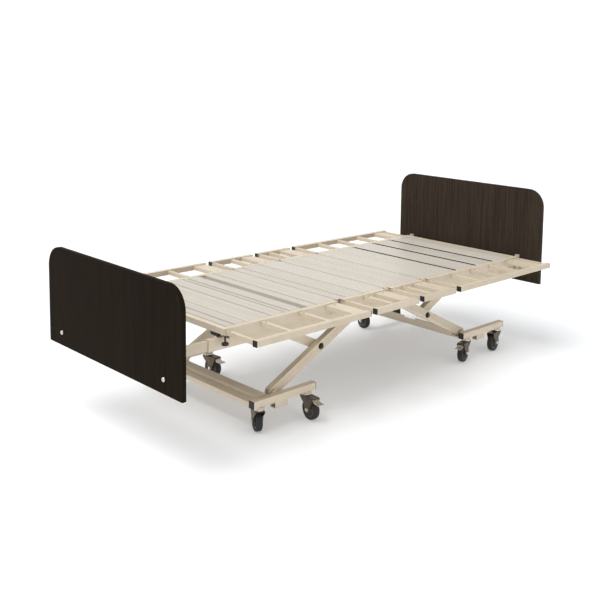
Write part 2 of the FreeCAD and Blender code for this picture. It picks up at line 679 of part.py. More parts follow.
def headboard_bracket(side):
    """Bracket that plugs into the frame's channel, with a socket for an accessory pole."""
    plate = board_bracket(HEAD, side, (400.0, 478.0), HEADBOARD_Z[0] + BOARD_BOLT_RISE)
    arm = tube_x((HEAD_ARM_START, BRACKET_BACK), side_span(side, *ARM_Y), ARM_Z, HEAVY_WALL)
    socket = cyl_z(SOCKET_OUTER_R, SOCKET_X, side * SOCKET_Y, SOCKET_Z)
    bore = cyl_z(SOCKET_R, SOCKET_X, side * SOCKET_Y, (SOCKET_Z[0] - 1.0, SOCKET_Z[1] + 1.0))
    rib = box((1090.0, SOCKET_X), side_span(side, FRAME_WEB[1], 376.0), (425.0, 455.0))
    link = box((SOCKET_X, BRACKET_BACK), side_span(side, SOCKET_Y - 3.0, SOCKET_Y + 3.0), (440.0, 470.0))
    return [plate, arm, socket.cut(bore), rib.cut(socket), link.cut(socket)]


def lock_knob():
    """Hand screw under the foot corner that clamps the pull-out tube."""
    disc = cyl_z(15.0, KNOB_X, KNOB_Y, (438.0, 450.0))
    disc = disc.makeFillet(3.0, [edge for edge in disc.Edges if edge.BoundBox.ZLength < 0.01])
    stem = cyl_z(4.0, KNOB_X, KNOB_Y, (449.0, TUBE_Z[0] - 1.0))
    return fuse(disc, stem)


def foot_frame():
    hole = cyl_z(4.4, KNOB_X, KNOB_Y, (DECK_TOP - RAIL - 2.0, TUBE_Z[0]))
    return [solid.cut(hole) for solid in section_frame("foot")]


def main():
    os.makedirs("parts", exist_ok=True)
    save("main_frame", main_frame())
    save("foot_frame", foot_frame())
    save("thigh_frame", section_frame("thigh") + lever_pair(KNEE_LEVER, -20.0))
    save("back_frame", section_frame("back") + lever_pair(BACK_LEVER, 365.0))
    for name, section in SECTIONS.items():
        save(name + "_slats", [slat(x0, x1) for x0, x1 in section["slats"]])
        for side, side_name in ((LEFT, "left"), (RIGHT, "right")):
            save(name + "_extension_" + side_name, extension(name, side))
    save("lock_knob", [lock_knob()])

    for name, x, towards, base_x, beam in (("foot", FOOT_LIFT_X, 1, FOOT_BASE_X, foot_beam()),
                                           ("head", HEAD_LIFT_X, -1, HEAD_BASE_X, head_beam())):
        legs, links, pins = lift_unit(x, towards)
        save(name + "_legs", legs)
        save(name + "_links", links)
        save(name + "_leg_pins", pins)
        save(name + "_base", base(base_x, x, beam))
        eye_x = x + towards * CRANK_REACH * math.tan(CRANK)
        body, rod = drive(x + towards * LIFT_MOUNT, 0.0, LIFT_DRIVE_Z, eye_x, 62.0)
        save(name + "_lift_drive", body)
        save(name + "_lift_rod", [rod])

    for name, lever, rear_x, z in (("back", BACK_LEVER, BACK_MOUNT_X, BACK_DRIVE_Z),
                                   ("knee", KNEE_LEVER, HEAD_LIFT_X - LIFT_MOUNT, KNEE_DRIVE_Z)):
        eye_x = lever["hinge"] + lever["length"] * math.tan(math.radians(lever["angle"]))
        body, rod = drive(rear_x, lever["y"], z, eye_x, 36.0)
        save(name + "_drive", body)
        save(name + "_drive_rod", [rod])

    for name, (x, side, heading, braked) in CASTERS.items():
        y = side * CASTER_Y
        save("fork_" + name, [placed(caster_fork(), x, y, heading)])
        save("wheel_" + name, [placed(caster_wheel(), x, y, heading)])
        if braked:
            save("pedal_" + name, [placed(brake_pedal(), x, y, heading)])

    save("footboard", [board(-BOARD_OUTER, -(BOARD_OUTER - BOARD_THICK), FOOTBOARD_Z)])
    save("headboard", [board(BOARD_OUTER, BOARD_OUTER - BOARD_THICK, HEADBOARD_Z)])
    save("footboard_arms", footboard_arm(LEFT) + footboard_arm(RIGHT))
    save("footboard_bolts", [board_bolt(FOOT, side * BOARD_BOLT_Y, FOOTBOARD_Z[0] + BOARD_BOLT_RISE)
                             for side in (LEFT, RIGHT)])
    head_bolts = [board_bolt(HEAD, side * BOARD_BOLT_Y, HEADBOARD_Z[0] + BOARD_BOLT_RISE)
                  for side in (LEFT, RIGHT)]
    brackets = [solid for side in (LEFT, RIGHT) for solid in headboard_bracket(side)]
    save("headboard_brackets", brackets + head_bolts)


main()
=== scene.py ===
import json
import math

import bmesh
import bpy
from mathutils import Matrix, Vector, noise


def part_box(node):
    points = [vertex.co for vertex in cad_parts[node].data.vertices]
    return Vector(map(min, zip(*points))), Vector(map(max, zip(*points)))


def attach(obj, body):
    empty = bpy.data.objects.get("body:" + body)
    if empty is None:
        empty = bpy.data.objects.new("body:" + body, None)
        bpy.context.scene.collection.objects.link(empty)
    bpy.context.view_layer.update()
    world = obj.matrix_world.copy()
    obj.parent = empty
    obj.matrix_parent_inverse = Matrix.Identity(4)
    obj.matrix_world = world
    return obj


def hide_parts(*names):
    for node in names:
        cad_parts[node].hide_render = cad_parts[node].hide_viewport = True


# Looks of the adjustable bed. Metres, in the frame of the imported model: X runs from the
# foot to the head, Y is negative on the patient's left, Z is up.

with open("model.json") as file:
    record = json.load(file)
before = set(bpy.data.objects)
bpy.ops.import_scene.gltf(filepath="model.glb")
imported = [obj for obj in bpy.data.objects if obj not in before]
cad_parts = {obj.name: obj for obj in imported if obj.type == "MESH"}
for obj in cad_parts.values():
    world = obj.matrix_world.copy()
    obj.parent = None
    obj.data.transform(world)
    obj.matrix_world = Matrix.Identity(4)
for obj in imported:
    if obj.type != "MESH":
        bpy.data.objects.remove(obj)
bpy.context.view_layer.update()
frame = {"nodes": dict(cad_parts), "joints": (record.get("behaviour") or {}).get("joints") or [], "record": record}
nodes = frame["nodes"]
joints = {joint["name"]: joint for joint in frame["joints"]}

MM = 0.001
ORIGIN = (0.0, 0.0, 0.0)
SECTIONS = ("foot", "thigh", "seat", "back")
SIDES = ("left", "right")
SECTION_BODY = {"foot": "foot_section", "thigh": "thigh_section",
                "seat": "main_frame", "back": "back_section"}


# Materials

WHITE = (1.0, 1.0, 1.0)
BLACK = (0.0, 0.0, 0.0)


def shader(name, rough, metallic=0.0, coat=0.0):
    """A new material with its node tree and its Principled shader."""
    material = bpy.data.materials.new(name)
    material.use_nodes = True
    tree = material.node_tree
    surface = tree.nodes["Principled BSDF"]
    surface.inputs["Roughness"].default_value = rough
    surface.inputs["Metallic"].default_value = metallic
    surface.inputs["Specular IOR Level"].default_value = 0.5 if metallic else 0.35
    surface.inputs["Coat Weight"].default_value = coat
    return material, tree, surface


def object_points(tree, stretch=(1.0, 1.0, 1.0)):
    """The object's own coordinates, stretched, as a texture's input."""
    source = tree.nodes.new("ShaderNodeTexCoord")
    mapping = tree.nodes.new("ShaderNodeMapping")
    mapping.inputs["Scale"].default_value = stretch
    tree.links.new(source.outputs["Object"], mapping.inputs["Vector"])
    return mapping.outputs["Vector"]


def noise_value(tree, points, scale, detail=3.0, rough=0.5, distortion=0.0):
    """Fractal noise between 0 and 1 at the given points."""
    node = tree.nodes.new("ShaderNodeTexNoise")
    node.inputs["Scale"].default_value = scale
    node.inputs["Detail"].default_value = detail
    node.inputs["Roughness"].default_value = rough
    node.inputs["Distortion"].default_value = distortion
    tree.links.new(points, node.inputs["Vector"])
    return node.outputs["Fac"]


def ramp(tree, value, stops):
    """Colour ramp; stops are (position, colour) with a colour of three numbers."""
    node = tree.nodes.new("ShaderNodeValToRGB")
    elements = node.color_ramp.elements
    while len(elements) < len(stops):
        elements.new(0.5)
    for element, (position, colour) in zip(elements, stops):
        element.position = position
        element.color = (*colour, 1.0)
    tree.links.new(value, node.inputs["Fac"])
    return node.outputs["Color"]


def spread(tree, value, low, high):
    """Maps a value from its middle range to low..high."""
    node = tree.nodes.new("ShaderNodeMapRange")
    node.inputs["From Min"].default_value = 0.3
    node.inputs["From Max"].default_value = 0.7
    node.inputs["To Min"].default_value = low
    node.inputs["To Max"].default_value = high
    tree.links.new(value, node.inputs["Value"])
    return node.outputs["Result"]


def mix(tree, factor, first, second, how="MIX"):
    """Blends two colours; each input is a socket, a colour or a number."""
    node = tree.nodes.new("ShaderNodeMix")
    node.data_type = "RGBA"
    node.blend_type = how
    given = {"Factor": factor, "A": first, "B": second}
    for socket_name, value in given.items():
        socket = node.inputs[socket_name]
        if isinstance(value, bpy.types.NodeSocket):
            tree.links.new(value, socket)
        elif isinstance(value, tuple):
            socket.default_value = (*value, 1.0)
        else:
            socket.default_value = value
    return node.outputs["Result"]


def bump(tree, surface, heights):
    """Chains bumps; heights are (value, strength, distance)."""
    previous = None
    for value, strength, distance in heights:
        node = tree.nodes.new("ShaderNodeBump")
        node.inputs["Strength"].default_value = strength
        node.inputs["Distance"].default_value = distance
        tree.links.new(value, node.inputs["Height"])
        if previous:
            tree.links.new(previous, node.inputs["Normal"])
        previous = node.outputs["Normal"]
    tree.links.new(previous, surface.inputs["Normal"])


def scaled(colour, factor):
    return tuple(channel * factor for channel in colour)


def powder_coat(name, colour, rough, streak):
    """Baked-on powder: orange peel, faint mottling, and a painted highlight that lightens the sharp edges."""
    material, tree, surface = shader(name, rough, coat=0.12)
    surface.inputs["Coat Roughness"].default_value = 0.25
    points = object_points(tree)
    mottle = noise_value(tree, points, 7.0, 4.0, 0.6)
    base = ramp(tree, mottle, ((0.3, scaled(colour, 0.93)), (0.7, colour)))
    drawn = noise_value(tree, object_points(tree, streak), 1.0, 3.0, 0.6)
    base = mix(tree, 0.35, base, ramp(tree, drawn, ((0.35, scaled(colour, 0.86)), (0.62, colour))))
    speck = noise_value(tree, points, 420.0, 2.0, 0.7)
    specks = ramp(tree, speck, ((0.28, (0.86, 0.84, 0.8)), (0.36, WHITE)))
    base = mix(tree, 1.0, base, specks, "MULTIPLY")
    geometry = tree.nodes.new("ShaderNodeNewGeometry")
    batch = ramp(tree, geometry.outputs["Random Per Island"],
                 ((0.0, (0.9, 0.9, 0.893)), (1.0, (1.05, 1.05, 1.05))))
    base = mix(tree, 1.0, base, batch, "MULTIPLY")
    # Painted highlight: sharp edges, found by pointiness, are lightened towards a brighter cream
    painted_edge_highlight = ramp(tree, geometry.outputs["Pointiness"], ((0.53, BLACK), (0.62, (0.5, 0.5, 0.5))))
    base = mix(tree, painted_edge_highlight, base, scaled(colour, 1.12))
    tree.links.new(base, surface.inputs["Base Color"])
    tree.links.new(spread(tree, mottle, rough - 0.05, rough + 0.08), surface.inputs["Roughness"])
    peel = noise_value(tree, points, 520.0, 2.0, 0.5)
    wave = noise_value(tree, points, 60.0, 2.0, 0.5)
    bump(tree, surface, ((peel, 0.16, 0.0002), (wave, 0.10, 0.0006)))
    return material


def laminate(name, colour, tone):
    """Dark wood print with upright grain and pores, and a plain band on the edges."""
    material, tree, surface = shader(name, 0.55)
    surface.inputs["Specular IOR Level"].default_value = 0.02
    light = scaled(colour, tone)
    dark = scaled(light, 0.46)
    broad = noise_value(tree, object_points(tree, (9.0, 9.0, 0.55)), 1.0, 5.0, 0.6, 0.6)
    fine = noise_value(tree, object_points(tree, (160.0, 160.0, 2.2)), 1.0, 6.0, 0.7, 0.2)
    pores = noise_value(tree, object_points(tree, (700.0, 700.0, 14.0)), 1.0, 2.0, 0.6)
    wood = ramp(tree, broad, ((0.32, dark), (0.5, scaled(light, 0.8)), (0.68, light)))
    lines = ramp(tree, fine, ((0.34, scaled(dark, 0.85)), (0.5, light), (0.68, scaled(light, 1.4))))
    wood = mix(tree, 0.75, wood, lines)
    holes = ramp(tree, pores, ((0.3, (0.45, 0.42, 0.4)), (0.42, WHITE)))
    wood = mix(tree, 1.0, wood, holes, "MULTIPLY")
    facing = tree.nodes.new("ShaderNodeSeparateXYZ")
    tree.links.new(tree.nodes.new("ShaderNodeTexCoord").outputs["Normal"], facing.inputs["Vector"])
    flat = tree.nodes.new("ShaderNodeMath")
    flat.operation = "ABSOLUTE"
    tree.links.new(facing.outputs["X"], flat.inputs[0])
    on_face = ramp(tree, flat.outputs["Value"], ((0.72, BLACK), (0.82, WHITE)))
    wood = mix(tree, on_face, scaled(light, 1.05), wood)
    tree.links.new(wood, surface.inputs["Base Color"])
    tree.links.new(spread(tree, fine, 0.5, 0.66), surface.inputs["Roughness"])
    bump(tree, surface, ((pores, 0.35, 0.0002), (fine, 0.22, 0.0004)))
    return material


def metal(name, colour, rough, stain, grain=(300.0, 300.0, 300.0)):
    """Plated or bare metal with tarnish, fine scratches and a sheen that wear has polished."""
    material, tree, surface = shader(name, rough, metallic=1.0)
    points = object_points(tree)
    patches = noise_value(tree, points, 90.0, 5.0, 0.65, 0.4)
    base = ramp(tree, patches, ((0.32, stain), (0.58, colour)))
    scratch = noise_value(tree, object_points(tree, grain), 1.0, 4.0, 0.7)
    base = mix(tree, 0.25, base, ramp(tree, scratch, ((0.35, scaled(colour, 0.6)), (0.6, colour))))
    tree.links.new(base, surface.inputs["Base Color"])
    tree.links.new(spread(tree, patches, rough + 0.12, rough - 0.05), surface.inputs["Roughness"])
    bump(tree, surface, ((scratch, 0.12, 0.0001), (patches, 0.08, 0.0003)))
    return material


def moulded(name, colour, rough, grain_scale=900.0, grain=0.25):
    """Moulded plastic or rubber with a fine spark texture and a little dust."""
    material, tree, surface = shader(name, rough)
    points = object_points(tree)
    dust = noise_value(tree, points, 38.0, 5.0, 0.7)
    base = ramp(tree, dust, ((0.35, colour), (0.75, tuple(channel * 1.35 + 0.006 for channel in colour))))
    tree.links.new(base, surface.inputs["Base Color"])
    tree.links.new(spread(tree, dust, rough - 0.05, rough + 0.1), surface.inputs["Roughness"])
    spark = noise_value(tree, points, grain_scale, 2.0, 0.6)
    bump(tree, surface, ((spark, grain, 0.0002), (dust, 0.05, 0.0004)))
    return material


CREAM = (0.63, 0.54, 0.412)
PALE = (0.535, 0.492, 0.43)
WALNUT = (0.0178, 0.0117, 0.0073)
# The board walnut painted lighter, for the headboard's copy of the same laminate
WALNUT_PAINTED_LIGHTER = (0.0238, 0.0178, 0.0130)
LOOK = {
    "frame_paint": powder_coat("frame_paint", CREAM, 0.40, (14.0, 14.0, 14.0)),
    "slat_paint": powder_coat("slat_paint", PALE, 0.42, (60.0, 1.6, 30.0)),
    "laminate": laminate("laminate", WALNUT, 0.8),
    "headboard_laminate_painted_lighter": laminate("headboard_laminate_painted_lighter", WALNUT_PAINTED_LIGHTER, 1.8),
    "plated_steel": metal("plated_steel", (0.66, 0.65, 0.63), 0.26, (0.42, 0.41, 0.40)),
    "zinc_plate": metal("zinc_plate", (0.17, 0.135, 0.10), 0.36, (0.07, 0.052, 0.04)),
    "bright_zinc": metal("bright_zinc", (0.80, 0.78, 0.74), 0.24, (0.55, 0.52, 0.48)),
    "black_steel": metal("black_steel", (0.075, 0.06, 0.055), 0.38, (0.035, 0.028, 0.026)),
    "drive_housing": moulded("drive_housing", (0.075, 0.078, 0.082), 0.48),
    "drive_tube": metal("drive_tube", (0.58, 0.59, 0.60), 0.32, (0.40, 0.41, 0.42), (40.0, 900.0, 900.0)),
    "black_plastic": moulded("black_plastic", (0.012, 0.0115, 0.011), 0.42),
    "nylon": moulded("nylon", (0.62, 0.60, 0.55), 0.45),
    "tyre_rubber": moulded("tyre_rubber", (0.017, 0.0165, 0.016), 0.62, 700.0, 0.4),
    "wheel_core": moulded("wheel_core", (0.075, 0.07, 0.066), 0.45),
}

NODE_LOOK = {}
for subpart in frame["record"]["subparts"]:
    NODE_LOOK[subpart["node"]] = subpart["material_slot"]
# The headboard has the same laminate as the footboard, painted lighter for the light that falls on it
NODE_LOOK["headboard"] = "headboard_laminate_painted_lighter"


# Mesh building

def soften(piece, width, segments=2):
    """Rounds the sharp edges a little, as on any real part."""
    bevel = piece.modifiers.new("round_edges", "BEVEL")
    bevel.width = width
    bevel.segments = segments
    bevel.limit_method = "ANGLE"
    bevel.angle_limit = math.radians(35.0)
    bevel.use_clamp_overlap = True
    normals = piece.modifiers.new("normals", "WEIGHTED_NORMAL")
    normals.keep_sharp = True


def islands(node):
    """The separate solids of a node's mesh: each one's lowest and highest corner and its faces."""
    mesh = nodes[node].data
    parent = {}

    def root(key):
        while parent[key] != key:
            parent[key] = parent[parent[key]]
            key = parent[key]
        return key

    keys = [tuple(round(c, 5) for c in vertex.co) for vertex in mesh.vertices]
    for key in keys:
        parent.setdefault(key, key)
    for polygon in mesh.polygons:
        first = root(keys[polygon.vertices[0]])
        for index in polygon.vertices[1:]:
            parent[root(keys[index])] = first
    found = {}
    for polygon in mesh.polygons:
        found.setdefault(root(keys[polygon.vertices[0]]), []).append(polygon)
    solids = []
    for polygons in found.values():
        corners = [mesh.vertices[index].co for polygon in polygons for index in polygon.vertices]
        low = Vector([min(corner[i] for corner in corners) for i in range(3)])
        high = Vector([max(corner[i] for corner in corners) for i in range(3)])
        solids.append((low, high, polygons))
    return solids


def in_metres(profile):
    """Pairs of millimetres as pairs of metres."""
    return [(first * MM, second * MM) for first, second in profile]


class Shape:
    """One mesh gathered from simple solids, each with its own place and paint."""

    def __init__(self):
        self.points, self.faces, self.paints = [], [], []
        self.paint = 0
        self.place = Matrix.Identity(4)

    def add(self, points, faces):
        first = len(self.points)
        self.points += [self.place @ Vector(point) for point in points]
        self.faces += [[first + index for index in face] for face in faces]
        self.paints += [self.paint] * len(faces)

    def skin(self, rings, capped=True, looped=False):
        """Joins rings of equal length; looped joins the last ring to the first."""
        size = len(rings[0])
        points = [point for ring in rings for point in ring]
        faces = []
        for row in range(len(rings) - (0 if looped else 1)):
            after = (row + 1) % len(rings)
            for i in range(size):
                j = (i + 1) % size
                faces.append((row * size + i, row * size + j, after * size + j, after * size + i))
        if capped and not looped:
            faces.append(tuple(range(size)))
            faces.append(tuple((len(rings) - 1) * size + i for i in range(size)))
        self.add(points, faces)

    def box(self, x, y, z):
        corners = ((y[0], z[0]), (y[1], z[0]), (y[1], z[1]), (y[0], z[1]))
        self.skin([[(end, *corner) for corner in corners] for end in x])

    def turned(self, centre, axis, profile, steps=32, looped=False):
        """Turns (radius, distance along the axis) round the axis through centre."""
        turn = Vector(axis).to_track_quat("Z", "Y").to_matrix()
        rings = []
        for radius, height in profile:
            ring = []
            for step in range(steps):
                angle = 2 * math.pi * step / steps
                spoke = Vector((radius * math.cos(angle), radius * math.sin(angle), height))
                ring.append(Vector(centre) + turn @ spoke)
            rings.append(ring)
        self.skin(rings, looped=looped)

    def hexagon(self, centre, axis, flats, height):
        """A hexagon head with a turned washer face."""
        radius = flats / math.sqrt(3.0)
        self.turned(centre, axis, [(flats * 0.56, 0.0), (flats * 0.56, height * 0.15)], 24)
        head = [(radius, height * 0.15), (radius, height * 0.9), (radius * 0.9, height)]
        self.turned(centre, axis, head, 6)

    def plate(self, outline, y):
        """An outline in X and Z, as thick as y says."""
        self.skin([[(px, end, pz) for px, pz in outline] for end in y])

    def strip(self, path, widths, thick):
        """A bent sheet: path in X and Z, half its width at each point."""
        rings = []
        for i, (px, pz) in enumerate(path):
            before, after = path[max(i - 1, 0)], path[min(i + 1, len(path) - 1)]
            along = Vector((after[0] - before[0], after[1] - before[1])).normalized()
            nx, nz = -along.y * thick / 2, along.x * thick / 2
            w = widths[i]
            upper, lower = (px + nx, pz + nz), (px - nx, pz - nz)
            rings.append([(upper[0], -w, upper[1]), (upper[0], w, upper[1]),
                          (lower[0], w, lower[1]), (lower[0], -w, lower[1])])
        self.skin(rings)

    def bead(self, corners, radius):
        """A weld bead that runs round closed corners, rippled like laid metal."""
        path = []
        for start, end in zip(corners, corners[1:] + corners[:1]):
            start, end = Vector(start), Vector(end)
            count = max(2, round((end - start).length / (1.9 * radius)))
            path += [start.lerp(end, step / count) for step in range(count)]
        rings = []
        for i, point in enumerate(path):
            along = (path[(i + 1) % len(path)] - path[i - 1]).normalized()
            turn = along.to_track_quat("Z", "Y").to_matrix()
            swell = radius * (1.0 + (0.16 if i % 2 else -0.10) + 0.12 * noise.noise(point * 300.0))
            ring = []
            for step in range(6):
                angle = math.pi * step / 3
                ring.append(point + turn @ Vector((swell * math.cos(angle), swell * math.sin(angle), 0.0)))
            rings.append(ring)
        self.skin(rings, looped=True)


def piece(name, shape, looks, body, slot, bevel=0.0004):
    """Makes the shape an object that rides on a body; looks are its materials in order."""
    mesh = bpy.data.meshes.new(name)
    mesh.from_pydata([tuple(point) for point in shape.points], [], shape.faces)
    for polygon, paint in zip(mesh.polygons, shape.paints):
        polygon.material_index = paint
    build = bmesh.new()
    build.from_mesh(mesh)
    bmesh.ops.remove_doubles(build, verts=build.verts, dist=0.000002)
    bmesh.ops.recalc_face_normals(build, faces=build.faces)
    build.to_mesh(mesh)
    build.free()
    mesh.polygons.foreach_set("use_smooth", [True] * len(mesh.polygons))
    mesh.set_sharp_from_angle(angle=math.radians(38.0))
    for look in looks:
        mesh.materials.append(LOOK[look])
    made = bpy.data.objects.new(name, mesh)
    bpy.context.scene.collection.objects.link(made)
    if bevel:
        soften(made, bevel)
    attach(made, body)
    return made


# CAD nodes that stay: their paint, and the parts of each that are another material

CAP_THICK = 2.9 * MM
SEAT_THICK = 6.0 * MM
BOARD_OUTSIDE_X = 1.195


def is_caster_seat(node, low, high):
    return node.endswith("_base") and abs(high.z - low.z - SEAT_THICK) < 0.3 * MM


def is_board_bolt(node, low, high):
    return node == "headboard_brackets" and high.x > BOARD_OUTSIDE_X


def in_end_caps(name, data):
    """Faces of the plugs that close the extension rails and the base bars."""
    low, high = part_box(name)
    return [polygon for polygon in data.polygons
            if polygon.center.x < low.x + CAP_THICK or polygon.center.x > high.x - CAP_THICK]


def set_look(data, polygons, look):
    data.materials.append(LOOK[look])
    for polygon in polygons:
        polygon.material_index = len(data.materials) - 1


def paint_node(name, node):
    """A CAD node's material, with its edges rounded."""
    data = node.data
    data.materials.clear()
    data.materials.append(LOOK[NODE_LOOK[name]])
    if "extension" in name or name.endswith("_base"):
        set_look(data, in_end_caps(name, data), "black_plastic")
    for test, look in ((is_caster_seat, "bright_zinc"), (is_board_bolt, "plated_steel")):
        if name.endswith(("_base", "_brackets")):
            apart = [polygons for low, high, polygons in islands(name) if test(name, low, high)]
            set_look(data, [polygon for polygons in apart for polygon in polygons], look)
    weld = node.modifiers.new("weld", "WELD")
    weld.merge_threshold = 0.00002
    flat = node.modifiers.new("flat", "DECIMATE")
    flat.decimate_type = "DISSOLVE"
    flat.angle_limit = math.radians(0.4)
    flat.delimit = {"MATERIAL"}
    soften(node, 0.0007)


for name, node in nodes.items():
    paint_node(name, node)


# Casters, in a frame with the swivel axis at its origin and the wheel trailing along +X

CASTER = {}
for joint_name, joint in joints.items():
    if joint_name.startswith("swivel_"):
        caster = joint_name[len("swivel_"):]
        swivel, axle = Vector(joint["pos_m"]), Vector(joints["roll_" + caster]["pos_m"])
        heading = math.atan2(axle.y - swivel.y, axle.x - swivel.x)
        CASTER[caster] = {"swivel": swivel, "axle": axle, "heading": heading}
TRAIL = (CASTER["foot_base_1_left"]["axle"] - CASTER["foot_base_1_left"]["swivel"]).to_2d().length
WHEEL_R = CASTER["foot_base_1_left"]["axle"].z


def caster_place(caster, at_axle=False):
    """The caster's own frame, on the floor under its swivel axis or at its axle."""
    spot = CASTER[caster]["axle"] if at_axle else CASTER[caster]["swivel"].to_2d().to_3d()
    return Matrix.Translation(spot) @ Matrix.Rotation(CASTER[caster]["heading"], 4, "Z")


def wheel_shape(place):
    """Rubber tread on a ribbed core, with bearing covers; the axle runs along Y."""
    shape = Shape()
    shape.place = place
    half = 16.0 * MM
    tread = [(34.0, -12.5), (38.0, -14.5), (43.0, -14.5), (46.2, -12.6), (47.6, -9.0), (47.9, -5.6),
             (47.1, -5.0), (47.9, -4.4), (48.0, 0.0), (47.9, 4.4), (47.1, 5.0), (47.9, 5.6),
             (47.6, 9.0), (46.2, 12.6), (43.0, 14.5), (38.0, 14.5), (34.0, 12.5)]
    shape.turned(ORIGIN, (0, 1, 0), in_metres(tread), 48, looped=True)
    shape.paint = 1
    core = [(6.3, -16.6), (13.0, -16.6), (14.5, -15.0), (15.0, -8.0), (29.0, -7.0), (30.5, -12.0),
            (34.5, -12.6), (34.5, 12.6), (30.5, 12.0), (29.0, 7.0), (15.0, 8.0), (14.5, 15.0),
            (13.0, 16.6), (6.3, 16.6)]
    shape.turned(ORIGIN, (0, 1, 0), in_metres(core), 48, looped=True)
    for rib in range(6):
        shape.place = place @ Matrix.Rotation(rib * math.pi / 3, 4, "Y")
        for low, high in ((-13.0, -7.2), (7.2, 13.0)):
            shape.box((14.0 * MM, 30.6 * MM), (low * MM, high * MM), (-1.6 * MM, 1.6 * MM))
    shape.place = place
    shape.paint = 2
    for end in (-1, 1):
        cover = [(6.4, -0.5), (6.4, 1.0), (10.5, 1.0), (11.5, 0.4), (11.5, -0.5)]
        shape.turned((0, end * half, 0), (0, end, 0), in_metres(cover), 32, looped=True)
    return shape


def fork_outline():
    """Side plate of the fork: broad under the crown, round below the axle."""
    rear = [(-21.0, 103.0), (-21.5, 97.0), (-12.0, 88.0), (6.0, 72.0), (15.5, 57.0), (17.5, 44.0)]
    below = []
    for step in range(7):
        angle = math.radians(205.0 + 130.0 * step / 6)
        below.append((TRAIL / MM + 15.5 * math.cos(angle), WHEEL_R / MM + 15.5 * math.sin(angle)))
    front = [(49.0, 46.0), (50.5, 58.0), (56.5, 74.0), (64.5, 87.0), (68.0, 97.0), (66.0, 103.0)]
    return in_metres(rear + below + front)


def fork_shape(place):
    """Pressed fork with its crown, ball race, axle bolt and nut."""
    shape = Shape()
    shape.place = place
    outline = fork_outline()
    for side in (-1, 1):
        shape.plate(outline, (side * 18.6 * MM, side * 21.4 * MM))
        shape.turned((TRAIL, side * 21.4 * MM, WHEEL_R), (0, side, 0),
                     in_metres([(13.0, 0.0), (12.0, 1.2)]), 32)
    shape.box((-20.0 * MM, 66.0 * MM), (-20.5 * MM, 20.5 * MM), (101.2 * MM, 104.6 * MM))
    race = [(15.0, 104.6), (20.5, 105.2), (22.6, 107.0), (23.0, 109.4), (21.8, 109.9), (21.8, 110.6),
            (23.2, 111.0), (22.8, 113.4), (20.5, 114.8), (9.0, 114.9)]
    king_pin = [(9.0, 97.5), (10.5, 99.5), (10.5, 101.4)]
    shape.paint = 1
    shape.turned(ORIGIN, (0, 0, 1), in_metres(race), 40)
    shape.turned(ORIGIN, (0, 0, 1), in_metres(king_pin), 24)
    shape.turned((TRAIL, 0, WHEEL_R), (0, 1, 0), in_metres([(5.9, -21.0), (5.9, 21.0)]), 24)
    shape.hexagon((TRAIL, -22.4 * MM, WHEEL_R), (0, -1, 0), 15.0 * MM, 5.0 * MM)
    shape.hexagon((TRAIL, 22.4 * MM, WHEEL_R), (0, 1, 0), 15.0 * MM, 5.6 * MM)
    shape.turned((TRAIL, 27.5 * MM, WHEEL_R), (0, 1, 0), in_metres([(4.0, 0.0), (3.4, 2.0)]), 16)
    return shape


def pedal_shape(place):
    """Pressed brake lever with a ridged toe and a shoe over the tread."""
    shape = Shape()
    shape.place = place
    path = [(57.0, 99.2), (65.0, 97.6), (75.0, 90.6), (88.0, 87.6), (96.0, 85.6), (103.0, 84.4),
            (110.0, 85.4)]
    widths = [12.0, 15.0, 15.5, 15.0, 17.0, 19.0, 18.0]
    shape.strip(in_metres(path), [w * MM for w in widths], 2.4 * MM)
    for x, z in ((97.0, 87.2), (100.5, 86.6), (104.0, 86.2), (107.5, 86.7)):
        shape.box(((x - 0.8) * MM, (x + 0.8) * MM), (-15.0 * MM, 15.0 * MM), ((z - 1.5) * MM, z * MM))
    cheek = [(56.5, 99.0), (65.0, 97.4), (75.0, 90.4), (90.0, 86.4), (88.0, 83.6), (66.0, 88.5), (58.0, 90.6)]
    for side in (-1, 1):
        shape.plate(in_metres(cheek), (side * 14.0 * MM, side * 15.8 * MM))
    shape.paint = 1
    pivot = (62.0 * MM, 0, 95.0 * MM)
    shape.turned(pivot, (0, 1, 0), in_metres([(2.9, -23.6), (2.9, 23.6)]), 20)
    shape.turned(pivot, (0, 1, 0), in_metres([(5.2, -13.5), (5.2, 13.5)]), 24)
    return shape


for caster in CASTER:
    wheel = piece("caster_wheel_" + caster, wheel_shape(caster_place(caster, True)),
                  ("tyre_rubber", "wheel_core", "zinc_plate"), "wheel_" + caster, "tyre_rubber", 0.0005)
    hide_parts("wheel_" + caster)
    fork = piece("caster_fork_" + caster, fork_shape(caster_place(caster)),
                 ("zinc_plate", "bright_zinc"), "fork_" + caster, "zinc_plate", 0.0006)
    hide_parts("fork_" + caster)
    if "pedal_" + caster in nodes:
        pedal = piece("caster_pedal_" + caster, pedal_shape(caster_place(caster)),
                      ("bright_zinc", "zinc_plate"), "pedal_" + caster, "zinc_plate", 0.0004)
        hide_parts("pedal_" + caster)


# Pivot bolts and the glides on the leg tops

